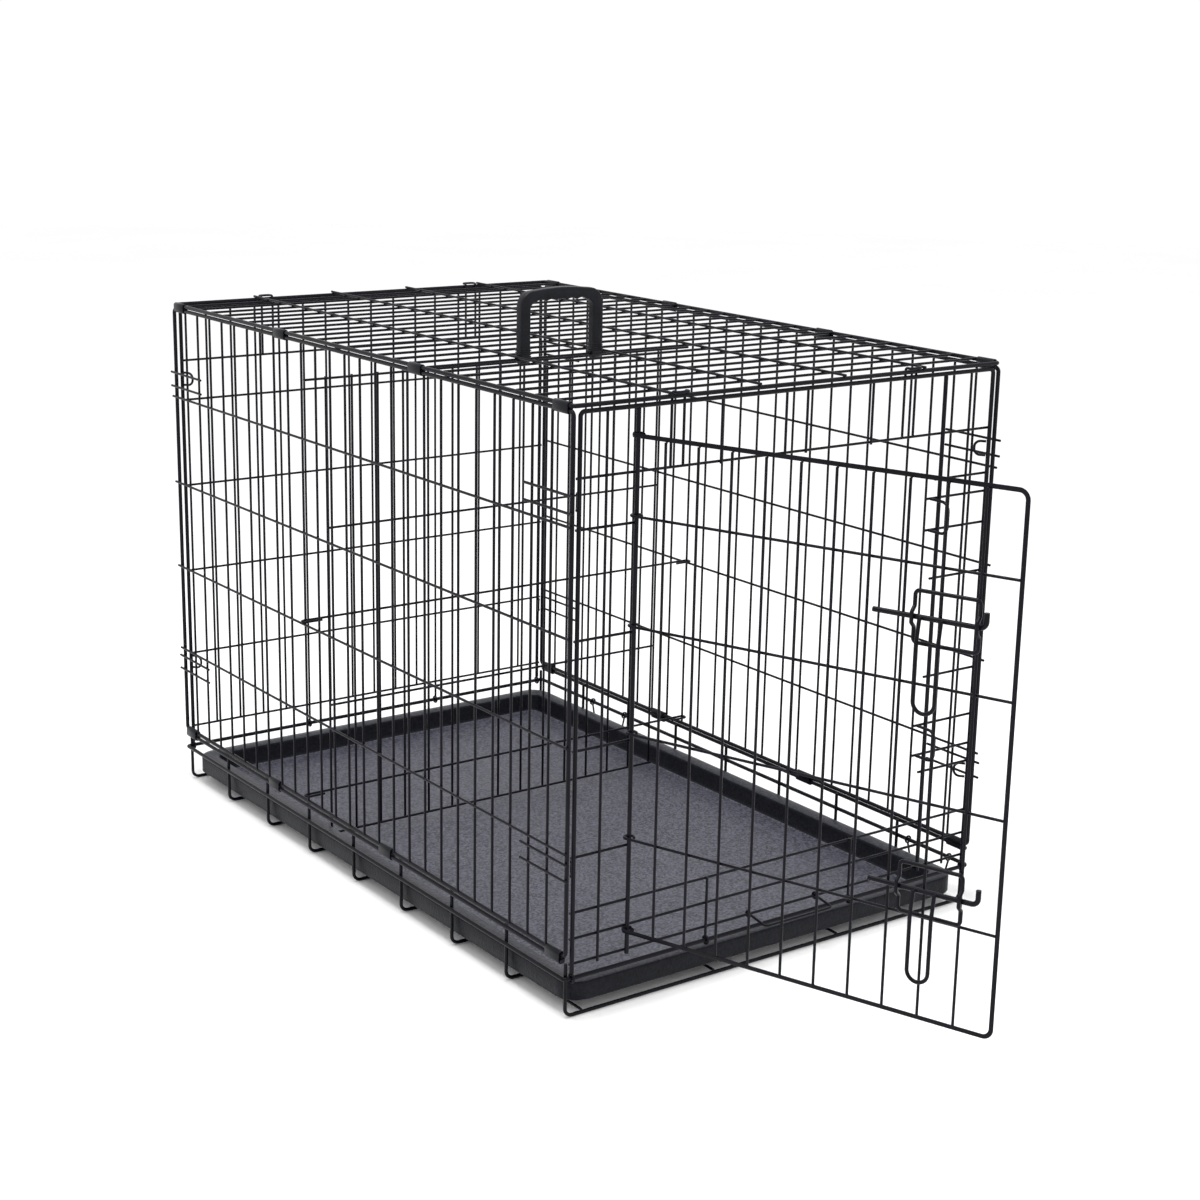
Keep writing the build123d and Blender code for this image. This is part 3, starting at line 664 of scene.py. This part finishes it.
for name, z in BOLT_ZS.items():
    body = f"{name}_bolt"
    shift = BOLT_SHIFTS[name]
    butt, bend = ROD_ALONG[0] + shift, ROD_ALONG[1] + shift
    points = [on_door(u, up, bolt_off) for u, up in ((butt, z), (bend, z), (bend, z + ROD_TIP))]
    wire_piece(f"{name}_bolt_bar", [(points, ROD_BEND, False)], BOLT_R, body, [f"{name}_bolt_rod"], 16)
    near, far = bolt_off + BOLT_R + PULL_R + TOUCH, bolt_off + PULL_OUT
    a, b = PULL_ALONG[0] + shift, PULL_ALONG[1] + shift
    points = [on_door(a, z + 0.001, near), on_door(a, z - 0.024, far), on_door(a, z - PULL_DROP, far)]
    points += [on_door(b, z - PULL_DROP, far), on_door(b, z - 0.024, far), on_door(b, z + 0.001, near)]
    wire_piece(
        f"{name}_bolt_finger_pull", [(points, PULL_BENDS, False)], PULL_R, body, [f"{name}_bolt_pull"],
    )
    weld(f"{name}_bolt_welds", [on_door(u, z, bolt_off + BOLT_R) for u in (a, b)], body, BOLT_NUGGET_R)


# ---- Divider ----
# A loose panel of mesh wire. Its hooks pass between the uprights of the sides and bend back round
# one of them, so that it lifts out and can be set further back as the puppy grows.
HOOK_TURN, DIVIDER_BAY, DIVIDER_WIDE, DIVIDER_PROUD = 0.0042, 16, 0.2875, 0.002
DIVIDER_Y = -HALF_L + DIVIDER_BAY * PITCH + HOOK_TURN
divider_xs = [-0.2565 + 0.0355 * i for i in range(15)]
DIVIDER_LOW, DIVIDER_HIGH = 0.022, 0.596
ends = (DIVIDER_LOW - DIVIDER_PROUD, DIVIDER_HIGH + DIVIDER_PROUD)
uprights = [tuple((x, DIVIDER_Y + OVER, z) for z in ends) for x in divider_xs]
wire_piece("divider_upright_wires", straight(*uprights), MESH_R, "divider", ["divider_uprights"])
inner, wide = (divider_xs[0] - DIVIDER_PROUD, divider_xs[-1] + DIVIDER_PROUD), (-DIVIDER_WIDE, DIVIDER_WIDE)
divider_runs = [(DIVIDER_HIGH, wide), (0.414, inner), (0.190, inner), (DIVIDER_LOW, inner)]
rails = [tuple((x, DIVIDER_Y, z) for x in reach) for z, reach in divider_runs]
wire_piece("divider_rail_wires", straight(*rails), MESH_R, "divider", ["divider_rails"])
HOOK_BEND, HOOK_TIP_X = 0.00415, 0.272
hook_zs = (side_rail_zs[1] + 0.0031, 0.080)
hook_x, hook_back = HALF_W + UPRIGHT_OFF + HOOK_TURN, DIVIDER_Y - 2 * HOOK_TURN
hooks = []
for z in hook_zs:
    points = [(-HOOK_TIP_X, hook_back, z), (-hook_x, hook_back, z), (-hook_x, DIVIDER_Y, z)]
    points += [(hook_x, DIVIDER_Y, z), (hook_x, hook_back, z), (HOOK_TIP_X, hook_back, z)]
    hooks.append((points, HOOK_BEND, False))
wire_piece("divider_hook_wires", hooks, MESH_R, "divider", ["divider_hook_rails"])
rail_zs = [z for z, _ in divider_runs] + list(hook_zs)
weld("divider_welds", [(x, DIVIDER_Y + MESH_R, z) for x in divider_xs for z in rail_zs], "divider")


# ---- Storage clips ----
# Light wire bails curled round the mid rail. They hang loose, and snap over the folded stack.
CLIP_R, CLIP_DROP = 0.00125, 0.032
clip_eye = FRAME_R + RUN_GAP + CLIP_R
for name, (a, b) in (("front", (-0.420, -0.350)), ("back", (0.238, 0.316))):
    routes = [(ring_route(Vector((RAIL_X, y, MID_RAIL_Z)), X, Z, clip_eye), 0.0, True) for y in (a, b)]
    low, high = MID_RAIL_Z - CLIP_DROP, MID_RAIL_Z - clip_eye
    points = [(RAIL_X, a, high), (RAIL_X, a + 0.008, low), (RAIL_X, b - 0.008, low), (RAIL_X, b, high)]
    routes.append((points, 0.006, False))
    wire_piece(f"{name}_clip_bail", routes, CLIP_R, f"{name}_storage_clip", [f"{name}_storage_clip"])


# ---- Pan ----
# A vacuum-formed pan of dark grey polypropylene: a flat well, a wide flange and a skirt. The well keeps
# the mould's pebbled grain, drawn coarser than its half millimetre; the drawn rim and walls are smoother.
# The steep walls and skirt are coloured near-black as painted shade.
def grained_polypropylene(name, dark, light, grain_size, rough, sheen):
    finish, tree, place = new_finish(name)
    pebble = add_node(
        tree, "ShaderNodeTexVoronoi", {"feature": "SMOOTH_F1"},
        {"Vector": place, "Scale": 1 / grain_size, "Smoothness": 0.6},
    ).outputs["Distance"]
    cast = grain(tree, place, 0.09, 3.0)
    # The speckle's light tone is painted glint off the pebbled grain, laid over the plastic's own dark
    # grey.
    painted_glint_speck = grain(tree, place, grain_size * 1.3, 3.0)
    bump = add_node(
        tree, "ShaderNodeBump", inputs={"Strength": 0.5, "Distance": 0.0005, "Height": pebble},
    )
    shade(
        tree, Base_Color=two_tone(tree, painted_glint_speck, dark, light, 0.38, 0.62),
        Roughness=spread(tree, cast, rough - 0.06, rough + 0.06), Specular_IOR_Level=sheen,
        Normal=bump.outputs["Normal"],
    )
    return finish


# The well's light specks are painted glints of its pebbled grain.
PAN_WELL_GRAIN_AND_GLINT = grained_polypropylene("spark_grained_polypropylene_painted_glints", "#292931", "#545461", 0.0022, 0.5, 0.42)
# Painted shade: the walls and skirt are the same plastic as the well, coloured far darker for the shade
# they stand in.
PAN_WALL_SHADE_FINISH = grained_polypropylene(
    "polypropylene_wall_painted_shade", "#0c0d12", "#15161d", 0.0030, 0.42, 0.12,
)
PAN_FLANGE_FINISH = grained_polypropylene(
    "drawn_polypropylene_flange", "#202127", "#32333b", 0.0030, 0.42, 0.3,
)
PAN_HALF_W, PAN_HALF_L, PAN_CORNER, FLANGE = 0.283, 0.446, 0.026, 0.020
PAN_BASE, PAN_FLOOR, SKIRT_LOW, PAN_RIM, PAN_WALL = 0.0074, 0.010, 0.014, 0.036, 0.0025


def rounded_loop(inset, z, corner, steps=8):
    """A rounded rectangle, inset from the pan's outer edge."""
    half_w, half_l = PAN_HALF_W - inset - corner, PAN_HALF_L - inset - corner
    points = []
    for quarter, (sx, sy) in enumerate(((1, 1), (-1, 1), (-1, -1), (1, -1))):
        for i in range(steps + 1):
            turn = pi / 2 * (quarter + i / steps)
            points.append((sx * half_w + corner * cos(turn), sy * half_l + corner * sin(turn), z))
    return points


def pan_profile():
    """(inset, height, corner radius) from the middle of the floor out over the rim and back below."""
    well = FLANGE
    inner = [(well + 0.030, PAN_FLOOR, 0.012), (well + 0.006, PAN_FLOOR, 0.013)]
    inner += [(well + 0.0022, PAN_FLOOR + 0.001, 0.0155), (well + 0.0006, PAN_FLOOR + 0.004, 0.017)]
    inner += [(well, PAN_RIM - 0.004, 0.0175), (well - 0.0008, PAN_RIM - 0.0012, 0.018)]
    inner.append((well - 0.003, PAN_RIM, 0.020))
    outer = [(0.0032, PAN_RIM, 0.023), (0.0009, PAN_RIM - 0.0009, 0.0252)]
    outer += [(0.0, PAN_RIM - 0.0032, PAN_CORNER), (0.0, SKIRT_LOW + 0.0008, PAN_CORNER)]
    outer += [(0.0008, SKIRT_LOW, 0.0252), (PAN_WALL - 0.0008, SKIRT_LOW, 0.0242)]
    outer.append((PAN_WALL, SKIRT_LOW + 0.0008, 0.0235))
    shelf, back = PAN_RIM - PAN_WALL, well - PAN_WALL
    under = [(PAN_WALL, shelf - 0.002, 0.0235), (PAN_WALL + 0.002, shelf, 0.0215)]
    under += [(back - 0.002, shelf, 0.021), (back, shelf - 0.002, 0.020)]
    under += [(back, PAN_BASE + 0.004, 0.020), (well - 0.001, PAN_BASE + 0.0008, 0.018)]
    under += [(well + 0.003, PAN_BASE, 0.016), (well + 0.030, PAN_BASE, 0.012)]
    return inner + outer + under


form = bmesh.new()
loops = [[form.verts.new(p) for p in rounded_loop(*ring)] for ring in pan_profile()]
for before, after in zip(loops, loops[1:]):
    for i in range(len(before)):
        j = (i + 1) % len(before)
        form.faces.new((before[i], before[j], after[j], after[i]))
form.faces.new(loops[0])
form.faces.new(loops[-1])
bmesh.ops.recalc_face_normals(form, faces=form.faces)
pan = new_piece("slide_out_pan", [])
form.to_mesh(pan.data)
form.free()
for finish in (PAN_WELL_GRAIN_AND_GLINT, PAN_WALL_SHADE_FINISH, PAN_FLANGE_FINISH):
    pan.data.materials.append(finish)
mid_z = (PAN_FLOOR + PAN_RIM) / 2
# Steep faces take the near-black painted-shade wall finish, raised flat faces the flange finish, the rest
# the well's finish.
for face in pan.data.polygons:
    steep, raised = abs(face.normal.z) < 0.5, face.center.z > mid_z
    face.material_index = 1 if steep else 2 if raised else 0
pan.data.shade_smooth()
pan.data.set_sharp_from_angle(angle=radians(60))
fit(pan, "tray", ["tray"])


# ---- Carry handle ----
# A moulded grip with a slightly bowed top and finger scallops below. Each leg ends in a ribbed foot
# that snaps round one cross wire of the top.
def satin_polypropylene(name, dark, light):
    """Fine matt mould texture about 0.8 mm across, with a soft sheen."""
    finish, tree, place = new_finish(name)
    texture = grain(tree, place, 0.0008, 3.0)
    cast = grain(tree, place, 0.02)
    bump = add_node(
        tree, "ShaderNodeBump", inputs={"Strength": 0.15, "Distance": 0.0002, "Height": texture},
    )
    shade(
        tree, Base_Color=two_tone(tree, cast, dark, light), Roughness=spread(tree, cast, 0.34, 0.42),
        Specular_IOR_Level=0.18, Normal=bump.outputs["Normal"],
    )
    return finish


HANDLE_BLACK = satin_polypropylene("satin_moulded_polypropylene", "#0d0e13", "#14151b")
handle_low, handle_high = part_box("carry_handle")
HANDLE_D = handle_high.y - handle_low.y
LEG_W, GRIP_H, CROWN, SHOULDER = 0.013, 0.015, 0.0025, 0.017
wire_z = cross_z
half = (handle_high.x - handle_low.x) / 2
handle_x, handle_y = (handle_low.x + handle_high.x) / 2, (handle_low.y + handle_high.y) / 2
shoulder_z = handle_high.z - CROWN
shoulder_turns = [pi / 2 * i / 8 for i in range(9)]
inner_turns = [pi / 2 * i / 6 for i in range(7)]
outline = [(-half, wire_z)]
outline += [(-half + SHOULDER * (1 - cos(t)), shoulder_z - SHOULDER * (1 - sin(t)))
            for t in shoulder_turns]
bow = [i / 12 for i in range(1, 12)]
outline += [((half - SHOULDER) * (2 * t - 1), shoulder_z + CROWN * sin(pi * t)) for t in bow]
outline += [(half - SHOULDER * (1 - sin(t)), shoulder_z - SHOULDER * (1 - cos(t)))
            for t in shoulder_turns]
outline.append((half, wire_z))
inside, under_z, INNER_R = half - LEG_W, handle_high.z - GRIP_H, 0.008
outline.append((inside, wire_z))
outline += [(inside - INNER_R * (1 - cos(t)), under_z - INNER_R * (1 - sin(t)))
            for t in inner_turns]
SCALLOPS, SCALLOP_RISE = 5, 0.0022
flat = inside - INNER_R
for t in [i / 50 for i in range(1, 50)]:
    rise = SCALLOP_RISE * abs(sin(SCALLOPS * pi * t)) ** 0.7
    outline.append((flat * (1 - 2 * t), under_z + rise))
outline += [(-inside + INNER_R * (1 - sin(t)), under_z - INNER_R * (1 - cos(t)))
            for t in inner_turns]
outline.append((-inside, wire_z))
form = bmesh.new()
faces = []
for y in (handle_low.y, handle_high.y):
    ring = [form.verts.new((handle_x + x, y, z)) for x, z in outline]
    faces.append(form.faces.new(ring))
near, far = (list(face.verts) for face in faces)
for i in range(len(near)):
    j = (i + 1) % len(near)
    form.faces.new((near[i], near[j], far[j], far[i]))
bmesh.ops.recalc_face_normals(form, faces=form.faces)
handle = new_piece("carry_handle_grip", [])
form.to_mesh(handle.data)
form.free()
handle.data.materials.append(HANDLE_BLACK)
edge = handle.modifiers.new("moulded edge", "BEVEL")
edge.width, edge.segments, edge.limit_method, edge.angle_limit = 0.0028, 4, "ANGLE", radians(60)
settle(handle)
handle.data.shade_smooth()
handle.data.set_sharp_from_angle(angle=radians(50))
fit(handle, "carry_handle", ["carry_handle"])

# The feet: a stack of rounded ribs over a closed barrel round the wire.
RIB_PITCH, RIB_OUT = 0.0021, 0.0006
barrel_r, bore_r = wire_z - handle_low.z, MESH_R + 0.0001
form = bmesh.new()
for side in (-1, 1):
    x0 = handle_x + side * (half - LEG_W / 2)
    for i in range(5):
        low = wire_z + barrel_r * 0.6 + i * RIB_PITCH
        block = bmesh.ops.create_cube(form, size=1.0)["verts"]
        size = Vector((LEG_W + 2 * RIB_OUT, HANDLE_D + 2 * RIB_OUT, RIB_PITCH * 0.62))
        bmesh.ops.scale(form, vec=size, verts=block)
        bmesh.ops.translate(form, vec=Vector((x0, handle_y, low)), verts=block)
    rings = []
    for x in (x0 - LEG_W / 2, x0 + LEG_W / 2):
        middle = Vector((x, handle_y, wire_z))
        circles = [ring_route(middle, Y, Z, radius) for radius in (barrel_r, bore_r)]
        rings.append([[form.verts.new(p) for p in circle] for circle in circles])
    (outer_a, inner_a), (outer_b, inner_b) = rings
    for i in range(len(outer_a)):
        j = (i + 1) % len(outer_a)
        form.faces.new((outer_a[i], outer_a[j], outer_b[j], outer_b[i]))
        form.faces.new((inner_a[i], inner_b[i], inner_b[j], inner_a[j]))
        form.faces.new((outer_a[i], inner_a[i], inner_a[j], outer_a[j]))
        form.faces.new((outer_b[i], outer_b[j], inner_b[j], inner_b[i]))
bmesh.ops.recalc_face_normals(form, faces=form.faces)
feet = new_piece("carry_handle_feet", [])
form.to_mesh(feet.data)
form.free()
feet.data.materials.append(HANDLE_BLACK)
edge = feet.modifiers.new("moulded edge", "BEVEL")
edge.width, edge.segments, edge.limit_method, edge.angle_limit = 0.0005, 2, "ANGLE", radians(60)
settle(feet)
feet.data.shade_smooth()
feet.data.set_sharp_from_angle(angle=radians(50))
fit(feet, "carry_handle", [])


# ---- Floor, light and camera ----
# A seamless pale floor under a white room light and one large soft box, as in a product studio.
def studio_floor():
    finish, tree, place = new_finish("matt_white_studio_floor")
    tone = two_tone(tree, grain(tree, place, 0.6), "#fbfbfb", "#fdfdfd")
    shade(tree, Base_Color=tone, Roughness=0.9, Specular_IOR_Level=0.1)
    return finish


STUDIO_R, STUDIO_STEPS, STUDIO_Z = 9.0, 64, -0.0002
turns = [2 * pi * i / STUDIO_STEPS for i in range(STUDIO_STEPS)]
ring = [(STUDIO_R * cos(t), STUDIO_R * sin(t), STUDIO_Z) for t in turns]
floor = new_piece("studio_floor", ring, faces=[tuple(range(STUDIO_STEPS))])
floor.data.materials.append(studio_floor())

scene = bpy.context.scene
world = bpy.data.worlds.new("white studio room")
world.use_nodes = True
room_light = world.node_tree.nodes["Background"].inputs
room_light["Color"].default_value, room_light["Strength"].default_value = (1, 1, 1, 1), 1.02
scene.world = world
scene.view_settings.view_transform = "Standard"


def soft_box(name, place, aim, size, power):
    light = bpy.data.lights.new(name, "AREA")
    light.shape, light.size, light.energy = "SQUARE", size, power
    lamp = bpy.data.objects.new(name, light)
    lamp.location = place
    lamp.rotation_euler = (Vector(aim) - Vector(place)).to_track_quat("-Z", "Y").to_euler()
    scene.collection.objects.link(lamp)


soft_box("overhead_soft_box", (-0.5, -0.3, 2.6), (0, 0, 0.3), 1.0, 45)

CAMERA_PLACE, YAW, PITCH, ROLL = Vector((-1.4752, -2.1245, 0.9959)), 0.94139, -0.25798, 0.01893
camera = bpy.data.cameras.new("camera")
camera.lens, camera.sensor_width, camera.clip_end = 64.277, 36.0, 50.0
ahead = Vector((cos(YAW) * cos(PITCH), sin(YAW) * cos(PITCH), sin(PITCH)))
level = Vector((sin(YAW), -cos(YAW), 0))
above = level.cross(ahead)
right = level * cos(ROLL) + above * sin(ROLL)
up = above * cos(ROLL) - level * sin(ROLL)
view = bpy.data.objects.new("camera", camera)
view.matrix_world = Matrix.Translation(CAMERA_PLACE) @ Matrix((right, up, -ahead)).transposed().to_4x4()
scene.collection.objects.link(view)
scene.camera = view
